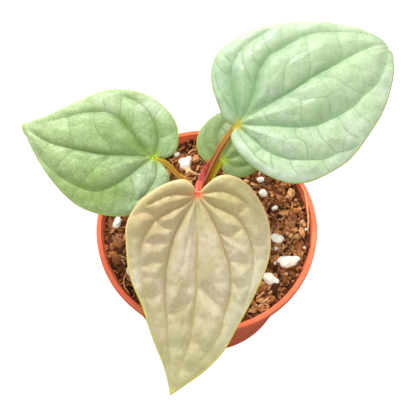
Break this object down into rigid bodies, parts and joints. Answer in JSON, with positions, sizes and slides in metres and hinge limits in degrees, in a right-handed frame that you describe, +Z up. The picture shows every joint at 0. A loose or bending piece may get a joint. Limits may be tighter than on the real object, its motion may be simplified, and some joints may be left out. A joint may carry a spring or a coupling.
{
  "type": "potted anthurium plant",
  "caption": "Young anthurium with heart-shaped quilted leaves on slender petioles, rooted in bark and perlite mix in a small round terracotta-coloured plastic pot.",
  "frame": {"origin": "middle of the pot's flat underside, on the surface it stands on", "axes": "+Z up through the pot; the new leaf points to -Y, towards the picture's viewer, and the largest leaf to +X"},
  "size_m": [0.1244, 0.1115, 0.1158],
  "materials": {
    "pot_plastic": "satin",
    "potting_mix": "matte",
    "stem": "matte",
    "petiole_large": "satin",
    "petiole_left": "satin",
    "petiole_new": "satin",
    "petiole_small": "satin",
    "blade_large": "satin",
    "blade_left": "satin",
    "blade_new": "satin",
    "blade_small": "satin",
    "cataphyll_new": "satin",
    "cataphyll_dry": "matte",
    "perlite": "matte",
    "bark": "matte",
    "twig": "matte"
  },
  "bodies": {
    "root": {"pot": "pot_plastic", "potting_mix": "potting_mix", "stem": "stem", "petiole_large": "petiole_large", "petiole_left": "petiole_left", "petiole_new": "petiole_new", "petiole_small": "petiole_small", "blade_large": "blade_large", "blade_left": "blade_left", "blade_new": "blade_new", "blade_small": "blade_small", "cataphyll_new": "cataphyll_new", "cataphyll_dry": "cataphyll_dry", "perlite_01": "perlite", "perlite_02": "perlite", "perlite_03": "perlite", "perlite_04": "perlite", "perlite_05": "perlite", "perlite_06": "perlite", "perlite_07": "perlite", "perlite_08": "perlite", "perlite_09": "perlite", "perlite_10": "perlite", "perlite_11": "perlite", "perlite_12": "perlite", "perlite_13": "perlite", "perlite_14": "perlite", "bark_chip_1": "bark", "bark_chip_2": "bark", "bark_chip_3": "bark", "bark_chip_4": "bark", "bark_chip_5": "bark", "bark_chip_6": "bark", "twig_1": "twig", "twig_2": "twig"}
  },
  "joints": []
}
